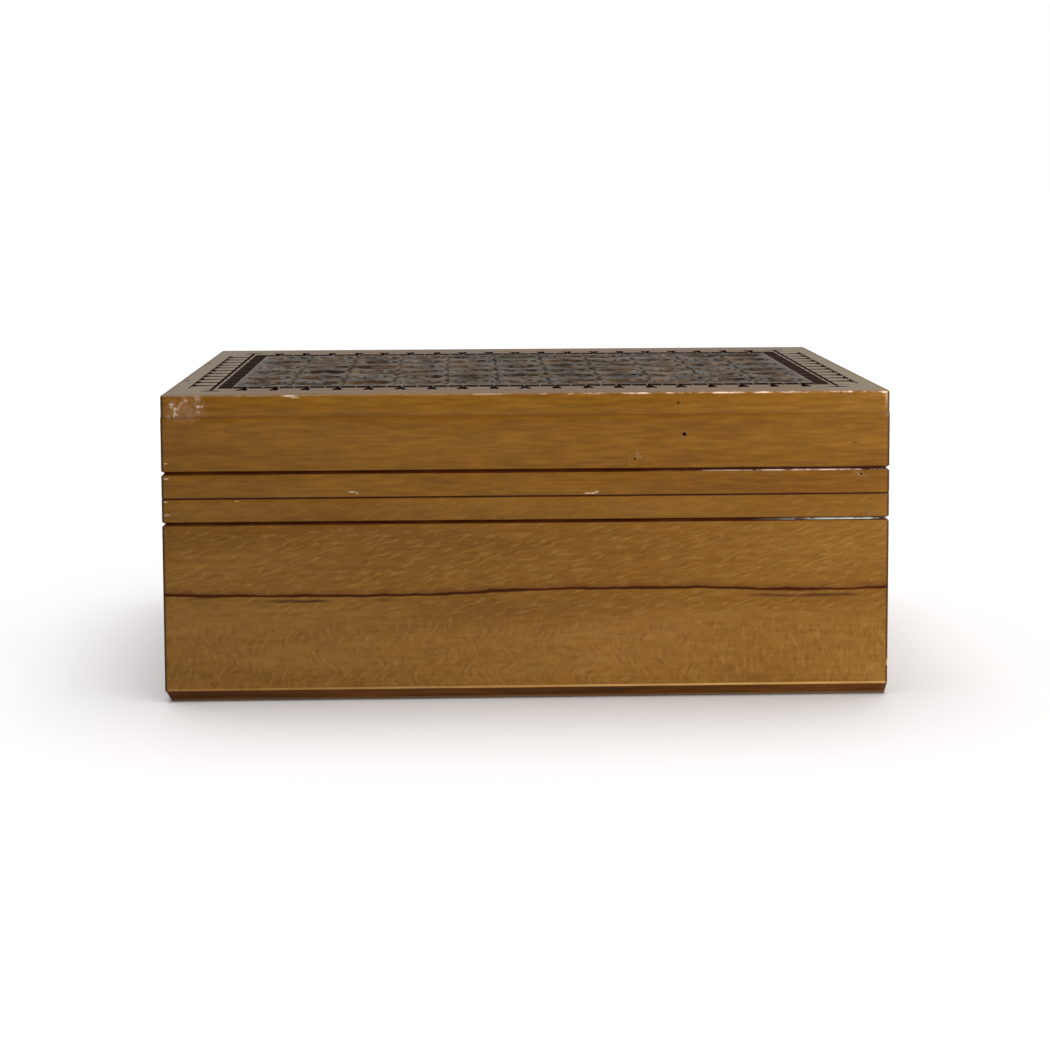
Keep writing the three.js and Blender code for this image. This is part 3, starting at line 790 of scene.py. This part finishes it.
def carvingTree(cutters, numbers):  # cuts every motif out of the board that the modifier sits on
    tree = bpy.data.node_groups.new("carved lid", "GeometryNodeTree")
    face = tree.interface
    keys = {}

    def socket(name, kind, way="INPUT"):
        keys[name] = face.new_socket(name, in_out=way, socket_type="NodeSocket" + kind).identifier

    socket("Geometry", "Geometry")
    for name in cutters:
        socket(name, "Object")
    for name, (kind, value) in numbers.items():
        socket(name, kind)
    socket("Finish", "Material")
    socket("Geometry", "Geometry", "OUTPUT")
    given = addNode(tree, "NodeGroupInput").outputs
    shapes = {}
    for name in cutters:
        shapes[name] = addNode(tree, "GeometryNodeObjectInfo", {"Object": given[name]}).outputs["Geometry"]
    runs = []

    def lessOne(count):
        return calc(tree, "SUBTRACT", count, 1.0)

    def between(low, high, seed):
        settings = {0: low, 1: high, "Seed": seed}
        return addNode(tree, "FunctionNodeRandomValue", settings, data_type="FLOAT_VECTOR").outputs[0]

    def place(points, motif, seedShift, tilt, sizeChange, angle=0.0):  # a varied motif on every point
        seed = calc(tree, "ADD", given["Seed"], float(seedShift))
        lean, less, more, deeper = math.radians(tilt), 1 - sizeChange, 1 + sizeChange / 2, 2.5 * sizeChange
        put = addNode(tree, "GeometryNodeInstanceOnPoints", {
            "Points": points, "Instance": shapes[motif],
            "Rotation": between((0, 0, -lean), (0, 0, lean), seed),
            "Scale": between(
                (less, less, 1 - deeper), (more, more, 1 + deeper), calc(tree, "ADD", seed, 50.0))})
        moved = addNode(tree, "GeometryNodeTransform", {
            "Geometry": put.outputs[0], "Rotation": (0, 0, angle),
            "Translation": vector(tree, z=given["Top"])})
        runs.append(moved.outputs[0])

    def grid(countX, countY, stepX, stepY):  # points of an even grid about the middle
        return addNode(tree, "GeometryNodeMeshGrid", {
            "Size X": times(tree, lessOne(countX), stepX), "Size Y": times(tree, lessOne(countY), stepY),
            "Vertices X": countX, "Vertices Y": countY}).outputs["Mesh"]

    def row(count, step, reach):  # points of an even row in front of the middle
        start = vector(tree, times(tree, lessOne(count), step, -0.5), times(tree, reach, -1.0))
        return addNode(tree, "GeometryNodeMeshLine", {
            "Count": count, "Start Location": start, "Offset": vector(tree, step)}).outputs["Mesh"]

    # Each run says its motif, its seed's shift, its largest tilt in degrees and its change of size.
    columns, rows, steps = given["Columns"], given["Rows"], (given["Column Step"], given["Row Step"])
    place(grid(columns, rows, *steps), "Rosette", 1, 16, 0.03)
    place(grid(lessOne(columns), rows, *steps), "Rope", 2, 3, 0.06)
    place(grid(lessOne(columns), lessOne(rows), *steps), "Star", 3, 8, 0.08)
    place(grid(columns, lessOne(rows), *steps), "Lens", 4, 6, 0.1)
    place(row(1, 0.0, 0.0), "First Slip", 6, 0, 0.0)
    place(row(1, 0.0, 0.0), "Second Slip", 7, 0, 0.0)
    for turn, (side, reach, bandReach, line) in enumerate((
            ("Along", "Frame Y", "Band Y", "Long Line"), ("Across", "Frame X", "Band X", "Short Line"))):
        for half in (0, 1):
            angle = turn * math.pi / 2 + half * math.pi
            tag = 20 * turn + 40 * half
            tabs, tabStep = given["Tabs " + side], given["Tab Step " + side]
            seams = row(lessOne(tabs), tabStep, given[reach])
            place(row(1, 0.0, given[reach]), line, tag + 10, 0, 0.0, angle)
            place(seams, "Left Stroke", tag + 11, 4, 0.05, angle)
            place(seams, "Right Stroke", tag + 12, 4, 0.05, angle)
            if side == "Across":
                place(row(lessOne(tabs), tabStep, given["Dot Reach"]), "Dot", tag + 16, 5, 0.08, angle)
            else:
                place(row(2, given["Line Ends"], given["Line End Reach"]), "Dot", tag + 17, 3, 0.0, angle)
            place(row(tabs, tabStep, given["Tab Reach " + side]), "Tab End", tag + 13, 3, 0.05, angle)
            chips = row(given["Chips " + side], given["Chip Step " + side], given[bandReach])
            place(chips, "Chip", tag + 14, 1.5, 0.02, angle)
            place(row(2, given["Corner " + side], given[bandReach]), "Chip", tag + 15, 0, 0.0, angle)

    carved = addNode(tree, "GeometryNodeMeshBoolean", operation="DIFFERENCE", solver="MANIFOLD")
    tree.links.new(given["Geometry"], carved.inputs[0])
    for run in runs:
        tree.links.new(run, carved.inputs[1])
    real = addNode(tree, "GeometryNodeRealizeInstances", {"Geometry": carved.outputs[0]})
    finished = addNode(tree, "GeometryNodeSetMaterial", {
        "Geometry": real.outputs[0], "Material": given["Finish"]})
    output = addNode(tree, "NodeGroupOutput")
    tree.links.new(finished.outputs[0], output.inputs[0])
    return tree, keys


stain = {  # ranges and reaches in mm
    "cut": (0.004, 0.03), "cutColour": (0.006, 0.0016, 0.0012), "cutRoughness": 0.5, "dullness": -0.95,
    "topX": (98.8, 99.1), "topY": (69.8, 70.1), "topShine": 0.38,
    "fieldEdge": (0.1, 0.35), "fieldDepthShade": (0.1, 1.0, 1.0, 0.35), "fieldRoughness": 0.06,
    "fieldTones": [(0.3, (0.008, 0.005, 0.003)), (0.5, (0.028, 0.017, 0.009)), (0.7, (0.085, 0.047, 0.02))],
    "mottleScale": (0.1, 0.16, 0.16),
    "frontLedge": (0.9, 2.8, 0.15), "sideLedge": (0.0, 1.9, 0.1), "ledgeEnd": (1, 2),
    "ledgeAmount": 0.7, "ledgeDullness": 0.8, "ledgeColour": (0.02, 0.009, 0.005),
    "side": (-16, 5), "sideAmount": 0.75, "sideShine": 0.25, "sideSheenTone": (0.12, 0.085, 0.045),
    "glossScale": (0.07, 0.24, 0.24), "glossShift": (50, 20, 0), "gloss": (0.38, 0.68, -0.66, 0.0),
    "gougeScale": (0.08, 0.2, 0.2), "gougeHeight": 13.0,
}


def carvedFinish(state):  # stain in the cuts and over the field, with painted shade deeper in the field's cuts and a painted grey sheen on the side margins; the border's other lands stay bare
    tree = state["tree"]
    below = calc(tree, "SUBTRACT", float(lid["top"]), state["height"])
    x = calc(tree, "ABSOLUTE", state["along"])
    y = calc(tree, "ABSOLUTE", state["across"])

    def short(value, limit, ramp):  # 1 up to a limit, 0 past it
        return rampUp(tree, value, limit + ramp[0], limit + ramp[1], 1.0, 0.0)

    onTop = times(tree, short(x, 0, stain["topX"]), short(y, 0, stain["topY"]))
    cut = times(tree, rampUp(tree, below, *stain["cut"]), onTop)
    edge = stain["fieldEdge"]
    inField = times(tree, short(x, lid["fieldX"], edge), short(y, lid["fieldY"], edge), onTop)
    mottle = cloud(tree, state["place"], stain["mottleScale"], detail=4, rough=0.6)
    fieldTone = gradient(tree, mottle, stain["fieldTones"])
    # painted shade: the field's stain darkens with the depth of the cut
    fieldTone = blendColour(tree, 1.0, fieldTone, rampUp(tree, below, *stain["fieldDepthShade"]), "MULTIPLY")
    ledges = []
    for value, band, other, end, form in (
            (y, "bandY", x, "bandX", "frontLedge"), (x, "bandX", y, "bandY", "sideLedge")):
        out, half, soft = stain[form]
        run = stripe(tree, value, lid[band] + out, half, soft)
        ledges.append(times(tree, run, short(other, lid[end], stain["ledgeEnd"])))
    ledge = times(tree, calc(tree, "MAXIMUM", *ledges), onTop, stain["ledgeAmount"])
    atSide = times(tree, rampUp(tree, x, *(lid["frameX"] + reach for reach in stain["side"])), onTop)
    dark = times(tree, cut, calc(tree, "SUBTRACT", 1.0, inField))
    # painted sheen: the side margins are greyed, standing in for the grey glare of the varnish
    paint(state, stain["sideSheenTone"], atSide, stain["sideAmount"])
    paint(state, stain["ledgeColour"], ledge)
    paint(state, stain["cutColour"], dark)
    state["colour"] = blendColour(tree, inField, state["colour"], fieldTone)
    addTo(state, "roughness", inField, stain["fieldRoughness"])
    addTo(state, "roughness", dark, stain["cutRoughness"])
    glossy = cloud(
        tree, state["place"], stain["glossScale"], stain["glossShift"], detail=3, rough=0.6, warp=0.4)
    shine = calc(tree, "MULTIPLY_ADD", onTop, stain["topShine"], varnish["shine"])
    shine = calc(tree, "MULTIPLY_ADD", inField, rampUp(tree, glossy, *stain["gloss"]), shine)
    shine = calc(tree, "MULTIPLY_ADD", atSide, stain["sideShine"], shine)
    dull = calc(tree, "MAXIMUM", dark, times(tree, ledge, stain["ledgeDullness"]))
    state["specular"] = times(tree, shine, calc(tree, "MULTIPLY_ADD", dull, stain["dullness"], 1.0))
    gouges = cloud(tree, state["place"], stain["gougeScale"], detail=3, rough=0.6, warp=0.6)
    addTo(state, "bump", times(tree, inField, stain["gougeHeight"]), gouges)


lidTop = addObject("lidTop", loftMm("lidTop", [
    boxOutline(inset, height, max(lid["leastRound"], lid["cornerRound"] - inset),
               lid["cornerSteps"], lid["sideSteps"])
    for inset, height in lid["layers"]]))
cutters = makeCutters()
lengths = {  # inputs of the carving's node tree in mm
    "Top": lid["top"], "Dot Reach": lid["frameX"] + lid["tabLength"] + lid["tabEndGap"],
    "Column Step": 2 * lid["fieldX"] / lid["columns"], "Row Step": 2 * lid["fieldY"] / lid["rows"],
    "Line Ends": 2 * lid["frameX"], "Line End Reach": lid["frameY"] + lid["frameRun"] - lid["lineEndInset"],
}
counts = {"Seed": lid["seed"], "Columns": lid["columns"], "Rows": lid["rows"]}
for side, x, y in (("Along", "X", "Y"), ("Across", "Y", "X")):
    halfFrame, halfBand = lid["frame" + x], lid["band" + x]
    counts.update({"Tabs " + side: lid["tabs" + side], "Chips " + side: lid["chips" + side]})
    lengths.update({
        "Frame " + x: halfFrame, "Band " + x: halfBand, "Corner " + side: 2 * halfBand,
        "Tab Step " + side: 2 * halfFrame / lid["tabs" + side],
        "Tab Reach " + side: lid["frame" + y] + lid["tabLength"] + lid["tabEndGap"],
        "Chip Step " + side: (2 * halfBand - lid["chipBand"]) / lid["chips" + side]})
numbers = {name: ("Float", value * mm) for name, value in lengths.items()}
numbers.update({name: ("Int", value) for name, value in counts.items()})
carvingNodes, keys = carvingTree(cutters, numbers)
carve = lidTop.modifiers.new("carving", "NODES")
carve.node_group = carvingNodes
for name, cutter in cutters.items():
    carve[keys[name]] = cutter
for name, (kind, value) in numbers.items():
    carve[keys[name]] = value
carve[keys["Finish"]] = woodMaterial("carved lid wood", lidLook, [
    carvedFinish, boardSeam, paleTopEdgeWearAndHighlight, frontMarks, darkEnds], objectPlace, lid["frontEdge"])
applyCuts(lidTop, list(cutters.values()), lid["smoothAngle"])
settle(lidTop, "lid_top")
print("carved top board has", sum(len(face.vertices) - 2 for face in lidTop.data.polygons), "triangles")


# Floor, light and camera

studio = {  # in metres
    "floorSize": 30.0, "floorColour": (0.875, 0.88, 0.9), "floorRoughness": 0.9, "floorShine": 0.1,
    "background": (1.0, 1.0, 1.0),
    "horizon": (0.345, 0.33, 0.302), "sky": (0.49, 0.475, 0.455), "skyRise": (0.05, 0.6),
    "roomFront": 0.5, "roomFrontReach": (-0.6, 0.2),
    "suns": [  # name, degrees right of the front, degrees up, strength, softness in degrees, colour
        ("keySun", 38, 48, 0.55, 50, (1.0, 0.975, 0.94)),
        ("fillSun", -50, 55, 0.1, 60, (1.0, 0.985, 0.97)),
        ("topSun", 170, 78, 2.15, 60, (1.0, 0.99, 0.98)),
    ],
    "sideLight": {
        "place": (0.36, -0.42, 0.22), "aim": (0.09, -0.07, 0.045), "size": (0.26, 0.26), "power": 6.3,
        "colour": (1.0, 0.98, 0.95)},
}
scene.view_settings.view_transform = "Standard"

floorSheet = bmesh.new()
bmesh.ops.create_grid(floorSheet, x_segments=4, y_segments=4, size=studio["floorSize"])
floorMesh = bpy.data.meshes.new("floor")
floorSheet.to_mesh(floorMesh)
floorSheet.free()
floor = addObject("floor", floorMesh)
floorMaterial = bpy.data.materials.new("pale floor")
floorMaterial.use_nodes = True
floorShader = floorMaterial.node_tree.nodes["Principled BSDF"]
floorShader.inputs["Base Color"].default_value = (*studio["floorColour"], 1)
floorShader.inputs["Roughness"].default_value = studio["floorRoughness"]
floorShader.inputs["Specular IOR Level"].default_value = studio["floorShine"]
floorMesh.materials.append(floorMaterial)

world = bpy.data.worlds.new("studio")
scene.world = world
world.use_nodes = True
sky = world.node_tree
sky.nodes.clear()
heading = addNode(sky, "ShaderNodeTexCoord").outputs["Generated"]
direction = addNode(sky, "ShaderNodeSeparateXYZ", {0: heading}).outputs
rise = rampUp(sky, direction["Z"], *studio["skyRise"])
surround = gradient(sky, rise, [(0.0, studio["horizon"]), (1.0, studio["sky"])])
front = rampUp(sky, direction["Y"], *studio["roomFrontReach"], studio["roomFront"], 1.0)
surround = blendColour(sky, 1.0, surround, front, "MULTIPLY")
seen = addNode(sky, "ShaderNodeLightPath").outputs["Is Camera Ray"]
shown = blendColour(sky, seen, surround, (*studio["background"], 1))   # white for the camera only
backdrop = addNode(sky, "ShaderNodeBackground", {"Color": shown})
sky.links.new(backdrop.outputs[0], addNode(sky, "ShaderNodeOutputWorld").inputs["Surface"])


def addLamp(name, kind, place, aim, energy, colour):
    lamp = bpy.data.lights.new(name, kind)
    lamp.energy, lamp.color = energy, colour
    holder = addObject(name, lamp)
    holder.location = place
    holder.rotation_euler = (Vector(aim) - Vector(place)).to_track_quat("-Z", "Y").to_euler()
    return lamp


for name, side, height, strength, softness, colour in studio["suns"]:
    turn, lift = math.radians(side), math.radians(height)
    place = Vector((math.sin(turn) * math.cos(lift), -math.cos(turn) * math.cos(lift), math.sin(lift)))
    addLamp(name, "SUN", place, (0, 0, 0), strength, colour).angle = math.radians(softness)
given = studio["sideLight"]
sideLamp = addLamp("sideLight", "AREA", given["place"], given["aim"], given["power"], given["colour"])
sideLamp.shape = "RECTANGLE"
sideLamp.size, sideLamp.size_y = given["size"]
boxOnly = bpy.data.collections.new("lit from the side")   # keeps the side light off the floor
for piece in list(scene.collection.all_objects):
    if piece.type == "MESH" and piece != floor:
        boxOnly.objects.link(piece)
bpy.data.objects["sideLight"].light_linking.receiver_collection = boxOnly

view = {  # place in metres, angles in degrees, lens and sensor in mm
    "place": (-0.0167, -0.6148, 0.1441), "yaw": 1.71, "pitch": -4.56, "roll": -0.24,
    "lens": 68.6, "sensor": 36, "shiftY": -0.18, "clip": (0.01, 100),
}
camera = addObject("camera", bpy.data.cameras.new("camera"))
scene.camera = camera
camera.data.lens = view["lens"]
camera.data.sensor_width = view["sensor"]
camera.data.shift_y = view["shiftY"]
camera.data.clip_start, camera.data.clip_end = view["clip"]
yaw, pitch, roll = (math.radians(view[key]) for key in ("yaw", "pitch", "roll"))
ahead = Vector((math.sin(yaw) * math.cos(pitch), math.cos(yaw) * math.cos(pitch), math.sin(pitch)))
level = Vector((math.cos(yaw), -math.sin(yaw), 0))
upright = level.cross(ahead)
right = math.cos(roll) * level + math.sin(roll) * upright
up = math.cos(roll) * upright - math.sin(roll) * level
camera.matrix_world = Matrix.Translation(view["place"]) @ Matrix((right, up, -ahead)).transposed().to_4x4()
print("floor, lights and camera placed")
